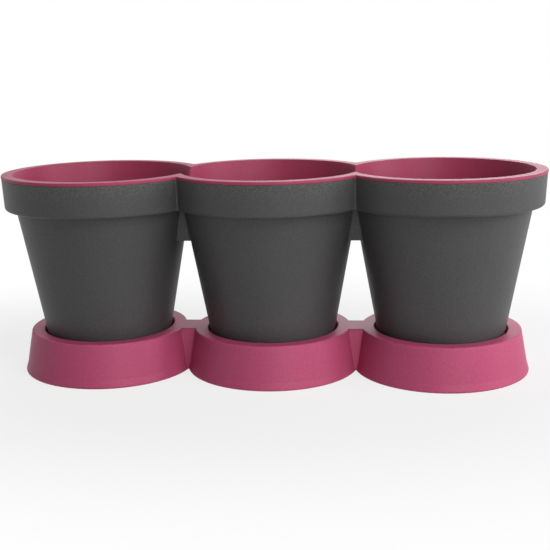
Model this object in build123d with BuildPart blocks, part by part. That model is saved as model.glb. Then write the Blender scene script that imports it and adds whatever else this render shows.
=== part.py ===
from build123d import *
import os
from math import cos, radians, sin, sqrt, tan

# Indoor herb planter: three tapered pots in one row, a liner that hangs in them and a drip tray with
# three wells. Millimetres and degrees. The row runs along X, Z is up, and the origin is on the table
# under the middle pot.

# Overall sizes
pot_count = 3
overall_height = 150.0  # table to the top of the lip
rim_diameter = 148.7  # one pot's rim at the top of the lip
rim_overlap = 22.5  # how far two neighbouring rims run into each other
body_draft = 10.4  # taper of the pots' sides
rim_draft = 3.0  # taper of the rim band
overrun = 1.0  # how far a cut runs past the face that it opens

# Rim band of the shell
rim_height = 25.5  # lower edge of the band to the top of the lip
band_overhang = 7.9  # how far the band's lower edge stands out from the pot's side
band_wall = 1.8
band_rounding = 2.2  # lower outer edge
crease_rounding = 1.2  # upright crease where two rims meet
seam_rounding = 0.4  # edges of band and lip where they meet
ledge_thickness = 1.6  # the step from the pot's side out to the band

# Pots of the shell
shell_wall = 1.6
shell_floor = 2.0
foot_width = 4.0  # ring that the pot stands on
foot_recess = 2.0  # how far the floor inside that ring is raised
foot_rounding = 1.5
shell_crest = 1.4  # blunt top of the partition between two pots

# Webs that tie neighbouring pots together under the band
web_height = 24.9
web_wall = 1.8
web_top_width = 2.7  # across its front, between the two pots, at the band
web_foot_width = 11.2  # the same at the lower edge
web_rounding = 1.5  # valley where its front meets a pot

# Liner
lip_height = 2.2
lip_overhang = 0.25  # how far it stands out from the band
lip_rounding = 0.8  # upper outer edge
mouth_rounding = 0.5  # upper inner edge
liner_wall = 1.5
liner_floor = 1.8
liner_crest = 1.4  # blunt top of the partition between two cups
liner_gap = 0.4  # all round, between liner and shell
liner_float = 0.6  # the liner's floor hangs this far above the shell's
cup_rounding = 3.0  # inside corner of the cup's floor
locating_height = 2.0  # rib under the lip that centres the liner inside the band
locating_wall = 1.2
locating_gap = 0.4

# Drain slots, one over each gap between two bars of the well's floor
drain_circle = 52.0  # diameter of the ring that their middles lie on
drain_length = 14.0  # slots in the liner, radial
drain_width = 3.0  # narrow enough to hold the soil back
drain_margin = 0.4  # how much wider the shell's slots are, all round

# Drip tray
ring_height = 31.4
ring_width = 9.7  # flat top of a ring, from the well's mouth outwards
ring_flare = 5.7  # how far the skirt spreads from the ring's top to the table
ring_rounding = 1.2  # outer edge of the ring's top
toe_height = 6.0  # the skirt spreads faster below this
toe_reach = 0.8  # how far that takes its lower edge out
toe_rounding = 1.2
well_clearance = 1.5  # all round, between pot and well
well_rounding = 1.2  # mouth of the well
well_floor_rounding = 2.0
tray_wall = 2.0
tray_lift = 1.0  # the wells' floors clear the table by this much
bridge_top_depth = 26.0  # front to back
bridge_foot_depth = 35.0
bridge_rounding = 1.5  # upper front and back edges
bridge_lift = 1.0  # its lower edge clears the table by this much

# Bars on the well's floor that hold the pot above the water
rest_count = 8
rest_width = 3.0
rest_height = 3.0
rest_inner_diameter = 28.0

# Stiffening ribs under the tray
stiffener_count = 8
stiffener_wall = 1.5
stiffener_recess = 3.0  # their lower edge clears the table by this much

# Heights that follow
band_bottom = overall_height - rim_height
ledge_top = band_bottom + ledge_thickness
lip_bottom = overall_height - lip_height
web_bottom = band_bottom - web_height
well_floor = tray_lift + tray_wall
foot_height = well_floor + rest_height
bore_floor = foot_height + foot_recess + shell_floor
liner_foot = bore_floor + liner_float
cup_floor = liner_foot + liner_floor
ring_roof = ring_height - tray_wall

# Places along the row
pot_pitch = rim_diameter - rim_overlap
pot_centres = [(place - (pot_count - 1) / 2) * pot_pitch for place in range(pot_count)]
joint_centres = [(place - (pot_count - 2) / 2) * pot_pitch for place in range(pot_count - 1)]


def lip_radius(height):
    """Outside of the liner's lip, with the taper of the band below it."""
    return rim_diameter / 2 - (overall_height - height) * tan(radians(rim_draft))


def rim_radius(height):
    """Outside of the rim band."""
    return lip_radius(height) - lip_overhang


def body_radius(height):
    """Outside of a pot's tapered side."""
    return rim_radius(band_bottom) - band_overhang - (band_bottom - height) * tan(radians(body_draft))


def bore_radius(height):
    """Inside of a pot of the shell."""
    return body_radius(height) - shell_wall


def liner_radius(height):
    """Outside of a cup of the liner."""
    return bore_radius(height) - liner_gap


def cup_radius(height):
    """Inside of a cup of the liner."""
    return liner_radius(height) - liner_wall


def well_radius(height):
    """Inside of a well of the tray, parallel to the pot that stands in it."""
    return body_radius(height) + well_clearance


ring_top_radius = well_radius(ring_height) + ring_width


def skirt_radius(height):
    """Outside of a ring of the tray, which spreads towards the table."""
    return ring_top_radius + ring_flare * (ring_height - height) / ring_height


def tapered_row(radius_at, low, high, mode=Mode.ADD):
    """One tapered round solid at each pot, between two heights."""
    with Locations(*[(pot_x, 0, low) for pot_x in pot_centres]):
        Cone(
            radius_at(low),
            radius_at(high),
            high - low,
            align=(Align.CENTER, Align.CENTER, Align.MIN),
            mode=mode,
        )


def row_outline(radius, crease_radius, mode=Mode.ADD):
    """Outline of the whole row seen from above: overlapping circles with rounded creases between them."""
    with BuildSketch(mode=Mode.PRIVATE) as outline:
        with Locations(*[(pot_x, 0) for pot_x in pot_centres]):
            Circle(radius)
        rows_of_corners = outline.vertices().group_by(Axis.Y)
        fillet(rows_of_corners[0] + rows_of_corners[-1], crease_radius)
    add(outline.sketch, mode=mode)


def row_of_rims(radius_at, low, high, crease_radius):
    """Tapered rims side by side, with the upright creases between them rounded."""
    with BuildPart() as rims:
        tapered_row(radius_at, low, high)
        fillet(rims.edges().filter_by(GeomType.HYPERBOLA), crease_radius)
    return rims.part


def row_of_cavities(radius_at, low, high, floor_rounding, crest):
    """Room inside a row of cups. Above their blunt partitions the cups open into each other."""
    top_radius = radius_at(high)
    crest_radius = (pot_pitch - crest) / 2
    with BuildPart() as cavities:
        tapered_row(radius_at, low, high)
        fillet(cavities.edges().group_by(Axis.Z)[0], floor_rounding)
        if top_radius > crest_radius:
            # The crest's side is a plane that cuts the tapered cavity, so the saddle's outline is a
            # hyperbola.
            half_width = sqrt(top_radius**2 - crest_radius**2)
            pole_height = high - half_width**2 / (top_radius * tan(radians(body_draft)))
            for joint_x in joint_centres:
                with BuildSketch(Plane.YZ.offset(joint_x - crest / 2)) as saddle:
                    with BuildLine():
                        Bezier(
                            (-half_width, high),
                            (0, pole_height),
                            (half_width, high),
                            weights=[1, top_radius / crest_radius, 1],
                        )
                        Line((half_width, high), (-half_width, high))
                    make_face()
                extrude(saddle.sketch, amount=crest, dir=(1, 0, 0))
    return cavities.part


def cross_block(half_length, foot_depth, top_depth, low, high, rounding=0, wall=0, mode=Mode.ADD):
    """Block across each joint of the row, with sloped front and back. With a wall, only those two."""
    corners = [
        (-foot_depth / 2, low),
        (foot_depth / 2, low),
        (top_depth / 2, high),
        (-top_depth / 2, high),
    ]
    for joint_x in joint_centres:
        with BuildSketch(Plane.YZ.offset(joint_x - half_length)) as outline:
            Polygon(*corners, align=None)
            if rounding:
                fillet(outline.vertices().group_by(Axis.Y)[-1], rounding)
            if wall:
                inner_corners = [
                    (depth - wall if depth > 0 else depth + wall, height)
                    for depth, height in corners
                ]
                Polygon(*inner_corners, align=None, mode=Mode.SUBTRACT)
        extrude(outline.sketch, amount=half_length * 2, dir=(1, 0, 0), mode=mode)


def drain_slots(floor_top, floor_thickness, margin):
    """Slots through the floor of every pot."""
    with BuildSketch(Plane.XY.offset(floor_top + overrun)) as slots:
        with Locations(*[(pot_x, 0) for pot_x in pot_centres]):
            with PolarLocations(drain_circle / 2, rest_count, start_angle=180 / rest_count):
                SlotOverall(drain_length + 2 * margin, drain_width + 2 * margin)
    extrude(slots.sketch, amount=floor_thickness + 2 * overrun, dir=(0, 0, -1), mode=Mode.SUBTRACT)


# Drip tray

# A bridge ends inside the flat tops of the two rings that it joins.
bridge_reach = pot_pitch / 2 - well_radius(ring_height) - ring_width / 2


def bridge_depth(height):
    """Front to back of the bridge between two rings."""
    spread_share = (ring_height - height) / (ring_height - bridge_lift)
    return bridge_top_depth + (bridge_foot_depth - bridge_top_depth) * spread_share


def bridge_hollow(height):
    """Front to back of the room inside the bridge."""
    return bridge_depth(height) - 2 * tray_wall


with BuildPart() as ring_form:
    with BuildSketch(Plane.XZ) as ring_side:
        with BuildLine():
            Polyline(
                (0, 0),
                (skirt_radius(0) + toe_reach, 0),
                (skirt_radius(toe_height), toe_height),
                (ring_top_radius, ring_height),
                (0, ring_height),
                close=True,
            )
        make_face()
        fillet(ring_side.vertices().group_by(Axis.X)[1], ring_rounding)
        fillet(ring_side.vertices().group_by(Axis.X)[-1], toe_rounding)
    revolve(axis=Axis.Z)

# From the well's sharp mouth to where its rounding meets the wall, or the ring's top
mouth_tangent = well_rounding * tan(radians((90 - body_draft) / 2))

with BuildPart() as well_room:
    with BuildSketch(Plane.XZ) as well_side:
        with BuildLine():
            wall_line = Line(
                (well_radius(well_floor), well_floor),
                (
                    well_radius(ring_height) - mouth_tangent * sin(radians(body_draft)),
                    ring_height - mouth_tangent * cos(radians(body_draft)),
                ),
            )
            mouth_arc = TangentArc(
                wall_line @ 1,
                (well_radius(ring_height) + mouth_tangent, ring_height),
                tangent=wall_line % 1,
            )
            Polyline(
                mouth_arc @ 1,
                (well_radius(ring_height) + mouth_tangent, ring_height + overrun),
                (0, ring_height + overrun),
                (0, well_floor),
                wall_line @ 0,
            )
        make_face()
        fillet(well_side.vertices().group_by(Axis.Y)[0].sort_by(Axis.X)[-1], well_floor_rounding)
    revolve(axis=Axis.Z)

with BuildPart() as drip_tray:
    # Outer form: flared skirts and the bridges between them
    with Locations(*[(pot_x, 0, 0) for pot_x in pot_centres]):
        add(ring_form.part)
    cross_block(
        bridge_reach,
        bridge_depth(bridge_lift),
        bridge_depth(ring_height),
        bridge_lift,
        ring_height,
        bridge_rounding,
    )

    # Hollow underneath
    tapered_row(lambda height: skirt_radius(height) - tray_wall, -overrun, ring_roof, mode=Mode.SUBTRACT)
    cross_block(
        bridge_reach,
        bridge_hollow(-overrun),
        bridge_hollow(ring_roof),
        -overrun,
        ring_roof,
        mode=Mode.SUBTRACT,
    )

    # Wells
    tapered_row(lambda height: well_radius(height) + tray_wall, tray_lift, ring_height)

    # Stiffening ribs between well and skirt
    rib_step = 360 / stiffener_count
    rib_angles = [radians((rib + 0.5) * rib_step) for rib in range(stiffener_count)]
    rib_planes = [
        Plane((pot_x, 0, 0), x_dir=(cos(angle), sin(angle), 0), z_dir=(sin(angle), -cos(angle), 0))
        for pot_x in pot_centres
        for angle in rib_angles
    ]
    rib_top = ring_height - tray_wall / 2
    with BuildSketch(*rib_planes):
        with BuildLine():
            Polyline(
                (well_radius(stiffener_recess) + tray_wall / 2, stiffener_recess),
                (skirt_radius(stiffener_recess) - tray_wall / 2, stiffener_recess),
                (skirt_radius(rib_top) - tray_wall / 2, rib_top),
                (well_radius(rib_top) + tray_wall / 2, rib_top),
                close=True,
            )
        make_face()
    extrude(amount=stiffener_wall / 2, both=True)

    # Room in the wells
    with Locations(*[(pot_x, 0, 0) for pot_x in pot_centres]):
        add(well_room.part, mode=Mode.SUBTRACT)

    # Bars that the pots stand on
    rest_outer_radius = well_radius(well_floor) + tray_wall / 2
    rest_length = rest_outer_radius - rest_inner_diameter / 2
    with Locations(*[(pot_x, 0, well_floor) for pot_x in pot_centres]):
        with PolarLocations(rest_inner_diameter / 2, rest_count):
            Box(rest_length, rest_width, rest_height, align=(Align.MIN, Align.CENTER, Align.MIN))

drip_tray.part.label = "drip_tray"

# Outer shell


def web_depth(width, height):
    """Front to back of a web whose front is this wide where it meets the two pots."""
    return 2 * sqrt(body_radius(height) ** 2 - ((pot_pitch - width) / 2) ** 2)


web_top_depth = web_depth(web_top_width, band_bottom)
web_foot_depth = web_depth(web_foot_width, web_bottom)
web_reach = web_foot_width / 2 + band_overhang


def is_web_valley(edge):
    """Upright edge where the front or back of a web meets a pot."""
    box = edge.bounding_box()
    tall = box.size.Z > web_height / 2
    under_band = box.min.Z > web_bottom - overrun and box.max.Z < band_bottom + overrun
    beside_joint = any(abs(edge.center().X - joint_x) < web_foot_width for joint_x in joint_centres)
    outside = 4 * abs(edge.center().Y) > web_foot_depth + web_top_depth - 2 * web_wall
    return tall and under_band and beside_joint and outside


band = row_of_rims(rim_radius, band_bottom, lip_bottom, crease_rounding)
band_room = row_of_rims(
    lambda height: rim_radius(height) - band_wall,
    ledge_top,
    lip_bottom + overrun,
    crease_rounding + band_wall,
)
bore_rounding = cup_rounding + liner_wall
bores = row_of_cavities(bore_radius, bore_floor, ledge_top + overrun, bore_rounding, shell_crest)

with BuildPart() as outer_shell:
    # Rim band
    add(band)
    fillet(outer_shell.faces().sort_by(Axis.Z)[0].outer_wire().edges(), band_rounding)
    fillet(outer_shell.faces().sort_by(Axis.Z)[-1].outer_wire().edges(), seam_rounding)

    # Pots
    tapered_row(body_radius, foot_height, ledge_top)
    fillet(outer_shell.edges().group_by(Axis.Z)[0], foot_rounding)

    # Webs, open underneath
    cross_block(web_reach, web_foot_depth, web_top_depth, web_bottom, band_bottom, wall=web_wall)
    fillet(outer_shell.edges().filter_by(is_web_valley), web_rounding)

    # Foot rings
    recess_radius = body_radius(foot_height) - foot_width
    with Locations(*[(pot_x, 0, foot_height) for pot_x in pot_centres]):
        Cylinder(
            recess_radius,
            foot_recess,
            align=(Align.CENTER, Align.CENTER, Align.MIN),
            mode=Mode.SUBTRACT,
        )

    # Room inside the band and in the pots
    add(band_room, mode=Mode.SUBTRACT)
    add(bores, mode=Mode.SUBTRACT)

    drain_slots(bore_floor, shell_floor, drain_margin)

outer_shell.part.label = "outer_shell"

# Inner liner

lip = row_of_rims(lip_radius, lip_bottom, overall_height, crease_rounding)
cups = row_of_cavities(cup_radius, cup_floor, overall_height + overrun, cup_rounding, liner_crest)
locating_radius = rim_radius(lip_bottom) - band_wall - locating_gap
locating_crease = crease_rounding + band_wall + locating_gap

with BuildPart() as inner_liner:
    # Lip that rests on the band
    add(lip)
    fillet(inner_liner.faces().sort_by(Axis.Z)[-1].outer_wire().edges(), lip_rounding)
    fillet(inner_liner.faces().sort_by(Axis.Z)[0].outer_wire().edges(), seam_rounding)

    # Locating rib
    with BuildSketch(Plane.XY.offset(lip_bottom - locating_height)):
        row_outline(locating_radius, locating_crease)
        row_outline(locating_radius - locating_wall, locating_crease + locating_wall, mode=Mode.SUBTRACT)
    extrude(amount=locating_height)

    # Cups
    tapered_row(liner_radius, liner_foot, lip_bottom)
    fillet(inner_liner.edges().group_by(Axis.Z)[0], bore_rounding)
    add(cups, mode=Mode.SUBTRACT)
    mouth = inner_liner.faces().sort_by(Axis.Z)[-1].inner_wires()
    fillet(mouth[0].edges(), mouth_rounding)

    drain_slots(cup_floor, liner_floor, 0)

inner_liner.part.label = "inner_liner"

os.makedirs("parts", exist_ok=True)
for piece in (drip_tray, outer_shell, inner_liner):
    export_step(piece.part, f"parts/{piece.part.label}.step")
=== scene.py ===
"""Indoor herb planter: three joined pots with a lift-out liner, on a drip tray.

The CAD pieces keep their shapes and places. This script gives them their plastics and adds the floor, the
surroundings, the lamps and the camera. Lengths are in metres.
"""

import math

import bpy
from mathutils import Matrix, Vector


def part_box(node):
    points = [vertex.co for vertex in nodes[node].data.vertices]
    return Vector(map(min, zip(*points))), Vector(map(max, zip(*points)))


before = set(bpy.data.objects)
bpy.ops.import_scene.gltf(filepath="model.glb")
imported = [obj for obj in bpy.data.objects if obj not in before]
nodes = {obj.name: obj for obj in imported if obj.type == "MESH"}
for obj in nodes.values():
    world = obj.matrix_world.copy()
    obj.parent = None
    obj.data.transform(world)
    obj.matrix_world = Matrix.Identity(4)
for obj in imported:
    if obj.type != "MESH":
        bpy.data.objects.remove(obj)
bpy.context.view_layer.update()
scene = bpy.context.scene


# Node trees


class Graph:
    """A node tree, emptied first, with short ways to add its nodes."""

    def __init__(self, tree):
        tree.nodes.clear()
        self.tree = tree

    def add(self, kind, inputs=None, **settings):
        """Adds a node. Each input is either the socket that feeds it or a constant."""
        node = self.tree.nodes.new(kind)
        for name, value in settings.items():
            setattr(node, name, value)
        for name, value in (inputs or {}).items():
            if isinstance(value, bpy.types.NodeSocket):
                self.tree.links.new(value, node.inputs[name])
            else:
                node.inputs[name].default_value = value
        return node

    def calculate(self, operation, *values):
        """One number worked out from others."""
        return self.add("ShaderNodeMath", dict(enumerate(values)), operation=operation).outputs["Value"]

    def remap(self, value, source, target, **settings):
        """A value carried from the source range to the target range, and held inside it."""
        inputs = {
            "Value": value,
            "From Min": source[0],
            "From Max": source[1],
            "To Min": target[0],
            "To Max": target[1],
        }
        return self.add("ShaderNodeMapRange", inputs, **settings).outputs["Result"]

    def seen(self):
        """1 for rays from the camera, mirrored rays and rays through a clear piece, and 0 for the rest."""
        rays = self.add("ShaderNodeLightPath").outputs
        straight_or_mirrored = self.calculate("MAXIMUM", rays["Is Camera Ray"], rays["Is Glossy Ray"])
        return self.calculate("MAXIMUM", straight_or_mirrored, rays["Is Transmission Ray"])


def around(middle, spread):
    """The range that reaches the spread to both sides of the middle."""
    return (middle - spread, middle + spread)


# Plastics

CLOUD_NOISE = {"Scale": 17.0, "Detail": 3.0, "Roughness": 0.5}
FINE_NOISE = {"Scale": 700.0, "Detail": 2.0, "Roughness": 0.6}
POINT_SCALE = 800.0
NOISE_RANGE = (0.3, 0.7)
PAINTED_GLINT_RANGE = (0.1, 0.55)  # the distance from a point's middle at which its painted glint starts to fade and ends
GLOSS_SPREAD = 0.04
GRAIN_DEPTH = 0.0002
EDGE_RADIUS = 0.0005
EDGE_SAMPLES = 6
PLASTIC_IOR = 1.49
SPECULAR_LEVEL = 0.3

# Painted glints: from the first depth below the shell's top, the band's colour gets lighter points that stand
# in for the lamps' glints, and they are full at the second depth.
PAINTED_GLINT_STARTS_BELOW_TOP = 0.0138
PAINTED_GLINT_FULL_BELOW_TOP = 0.0008
shell_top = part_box("outer_shell")[1][2]


def moulded_plastic(name, colour, roughness, grain, speckle, cloud, painted_glint_strength=0.0, painted_glint_heights=None):
    """Injection-moulded plastic. The grain is the mould's fine texture, the speckle its small changes of
    tone, and the cloud the slow change of tone over a large surface. The painted glint strength is a painted
    highlight: the share by which small points are made lighter in the colour to stand in for the lamps'
    glints, from nothing at the first of the painted glint heights to all of it at the second."""
    material = bpy.data.materials.new(name)
    material.use_nodes = True
    graph = Graph(material.node_tree)
    place = graph.add("ShaderNodeTexCoord").outputs["Object"]
    slow = graph.add("ShaderNodeTexNoise", {"Vector": place, **CLOUD_NOISE}).outputs["Fac"]
    fine = graph.add("ShaderNodeTexNoise", {"Vector": place, **FINE_NOISE}).outputs["Fac"]
    voronoi = graph.add("ShaderNodeTexVoronoi", {"Vector": place, "Scale": POINT_SCALE}, feature="F1")
    from_point = voronoi.outputs["Distance"]

    tone = graph.calculate(
        "MULTIPLY",
        graph.remap(slow, NOISE_RANGE, around(1, cloud)),
        graph.remap(fine, NOISE_RANGE, around(1, speckle)),
    )
    # Painted highlight: near the band's top, small points are made lighter in the colour to stand in for
    # glints of the lamps.
    if painted_glint_heights:
        height = graph.add("ShaderNodeSeparateXYZ", {"Vector": place}).outputs["Z"]
        share = graph.remap(height, painted_glint_heights, (0.0, 1.0))
        painted_glint = graph.remap(from_point, PAINTED_GLINT_RANGE, (painted_glint_strength, 0.0))
        painted_glint_lift = graph.calculate("MULTIPLY_ADD", painted_glint, share, 1.0)
        tone = graph.calculate("MULTIPLY", tone, painted_glint_lift)
    tinted = graph.add("ShaderNodeVectorMath", {0: colour, "Scale": tone}, operation="SCALE")

    soft_edge = graph.add("ShaderNodeBevel", {"Radius": EDGE_RADIUS}, samples=EDGE_SAMPLES)
    bump = graph.add(
        "ShaderNodeBump",
        {
            "Height": graph.calculate("ADD", fine, from_point),
            "Strength": grain,
            "Distance": GRAIN_DEPTH,
            "Normal": soft_edge.outputs["Normal"],
        },
    )
    shader = graph.add(
        "ShaderNodeBsdfPrincipled",
        {
            "Base Color": tinted.outputs["Vector"],
            "Roughness": graph.remap(slow, NOISE_RANGE, around(roughness, GLOSS_SPREAD)),
            "Normal": bump.outputs["Normal"],
            "IOR": PLASTIC_IOR,
            "Specular IOR Level": SPECULAR_LEVEL,
        },
    )
    graph.add("ShaderNodeOutputMaterial", {"Surface": shader.outputs["BSDF"]})
    return material


finishes = {
    "drip_tray": moulded_plastic(
        "fuchsia_tray_plastic",
        # Painted light: this fuchsia is set lighter than the liner's, standing in for light bounced up from
        # the floor onto the tray's skirts.
        colour=(0.482, 0.074, 0.17),
        roughness=0.48,
        grain=0.3,
        speckle=0.08,
        cloud=0.03,
    ),
    "outer_shell": moulded_plastic(
        "anthracite_plastic",
        colour=(0.067, 0.0658, 0.0664),
        roughness=0.5,
        grain=0.35,
        speckle=0.12,
        cloud=0.05,
        # Painted glints, lighter points in the colour near the top of the band.
        painted_glint_strength=0.85,
        painted_glint_heights=(shell_top - PAINTED_GLINT_STARTS_BELOW_TOP, shell_top - PAINTED_GLINT_FULL_BELOW_TOP),
    ),
    "inner_liner": moulded_plastic(
        "fuchsia_liner_plastic",
        colour=(0.38, 0.046, 0.108),
        roughness=0.48,
        grain=0.2,
        speckle=0.05,
        cloud=0.03,
    ),
}
for node_name, material in finishes.items():
    mesh = nodes[node_name].data
    mesh.materials.clear()
    mesh.materials.append(material)


# Floor and surroundings

WHITE = (1.0, 1.0, 1.0, 1.0)
MATT_FLOOR = (0.85, 0.85, 0.85, 1.0)
FLOOR_SIZE = 12.0
# The floor starts to turn white at the first distance from the middle and is all white at the second.
FADE_REACH = (0.13, 0.34)
# Distances along the row count less, so the fade is an oval that is longer there.
ROW_STRETCH = (0.62, 1.0, 1.0)
WHITE_NEAR_OBJECT = 0.76
AMBIENT = 0.07


def pale_floor():
    """A pale floor that keeps a soft shadow near the object and runs out into the white surroundings."""
    bpy.ops.mesh.primitive_plane_add(size=FLOOR_SIZE, location=(0, 0, 0))
    floor = bpy.context.object
    floor.name = "floor"
    material = bpy.data.materials.new("pale_floor")
    material.use_nodes = True
    graph = Graph(material.node_tree)
    place = graph.add("ShaderNodeTexCoord").outputs["Object"]
    stretched = graph.add("ShaderNodeVectorMath", {0: place, 1: ROW_STRETCH}, operation="MULTIPLY")
    distance = graph.add("ShaderNodeVectorMath", {0: stretched.outputs["Vector"]}, operation="LENGTH")
    whiteness = graph.remap(
        distance.outputs["Value"], FADE_REACH, (WHITE_NEAR_OBJECT, 1.0), interpolation_type="SMOOTHSTEP"
    )
    share = graph.calculate("MULTIPLY", whiteness, graph.seen())
    matt = graph.add("ShaderNodeBsdfDiffuse", {"Color": MATT_FLOOR})
    white = graph.add("ShaderNodeEmission", {"Color": WHITE, "Strength": 1.0})
    mixed = graph.add(
        "ShaderNodeMixShader", {0: share, 1: matt.outputs["BSDF"], 2: white.outputs["Emission"]}
    )
    graph.add("ShaderNodeOutputMaterial", {"Surface": mixed.outputs["Shader"]})
    floor.data.materials.append(material)


def surroundings():
    """White where they are seen or mirrored, and a weak ambient light otherwise."""
    world = bpy.data.worlds.new("studio")
    scene.world = world
    world.use_nodes = True
    graph = Graph(world.node_tree)
    strength = graph.remap(graph.seen(), (0.0, 1.0), (AMBIENT, 1.0))
    background = graph.add("ShaderNodeBackground", {"Color": WHITE, "Strength": strength})
    graph.add("ShaderNodeOutputWorld", {"Surface": background.outputs["Background"]})


pale_floor()
surroundings()


# Lamps

LAMP_AIM = Vector((0.0, 0.0, 0.08))
LAMP_DISTANCE = 1.7


def soft_box(name, azimuth, elevation, size, power):
    """A square studio lamp that faces the object. Azimuth 0 is in front of it and 90 on its right. Angles are
    in degrees, the size is the lamp's side, and the power is in watts."""
    light = bpy.data.lights.new(name, "AREA")
    light.shape = "SQUARE"
    light.size = size
    light.energy = power
    lamp = bpy.data.objects.new(name, light)
    scene.collection.objects.link(lamp)
    up = math.radians(elevation)
    turn = math.radians(azimuth)
    way = Vector((math.cos(up) * math.sin(turn), -math.cos(up) * math.cos(turn), math.sin(up)))
    lamp.location = LAMP_AIM + way * LAMP_DISTANCE
    lamp.rotation_euler = (-way).to_track_quat("-Z", "Y").to_euler()


soft_box("side_light", azimuth=82, elevation=15, size=0.8, power=9.6)
soft_box("front_light", azimuth=47, elevation=38, size=0.8, power=12.0)
soft_box("low_light", azimuth=20, elevation=14, size=0.6, power=6.2)
soft_box("back_light", azimuth=166, elevation=24, size=1.1, power=7.0)
soft_box("rear_light", azimuth=-150, elevation=50, size=1.1, power=5.5)


# Camera, solved from the photograph's edges, with its angles in radians

PHOTO_SIZE = 550
SENSOR_MM = 36.0
EYE = (0.0672364, -0.7304164, 0.2355541)
TURN = 0.0976
DIP = 0.1979
ROLL = -0.0206
FOCAL_PIXELS = 996.07
AXIS_PIXEL = (265.72, 250.82)
CLIP = (0.01, 50.0)

camera_data = bpy.data.cameras.new("camera")
camera_data.sensor_width = SENSOR_MM
camera_data.lens = FOCAL_PIXELS / PHOTO_SIZE * SENSOR_MM
camera_data.shift_x = (PHOTO_SIZE / 2 - AXIS_PIXEL[0]) / PHOTO_SIZE
camera_data.shift_y = (AXIS_PIXEL[1] - PHOTO_SIZE / 2) / PHOTO_SIZE
camera_data.clip_start, camera_data.clip_end = CLIP
camera = bpy.data.objects.new("camera", camera_data)
scene.collection.objects.link(camera)
camera.matrix_world = (
    Matrix.Translation(EYE)
    @ Matrix.Rotation(TURN, 4, "Z")
    @ Matrix.Rotation(math.pi / 2 - DIP, 4, "X")
    @ Matrix.Rotation(ROLL, 4, "Z")
)
scene.camera = camera
scene.view_settings.view_transform = "Standard"


# Scene update

bpy.context.view_layer.update()
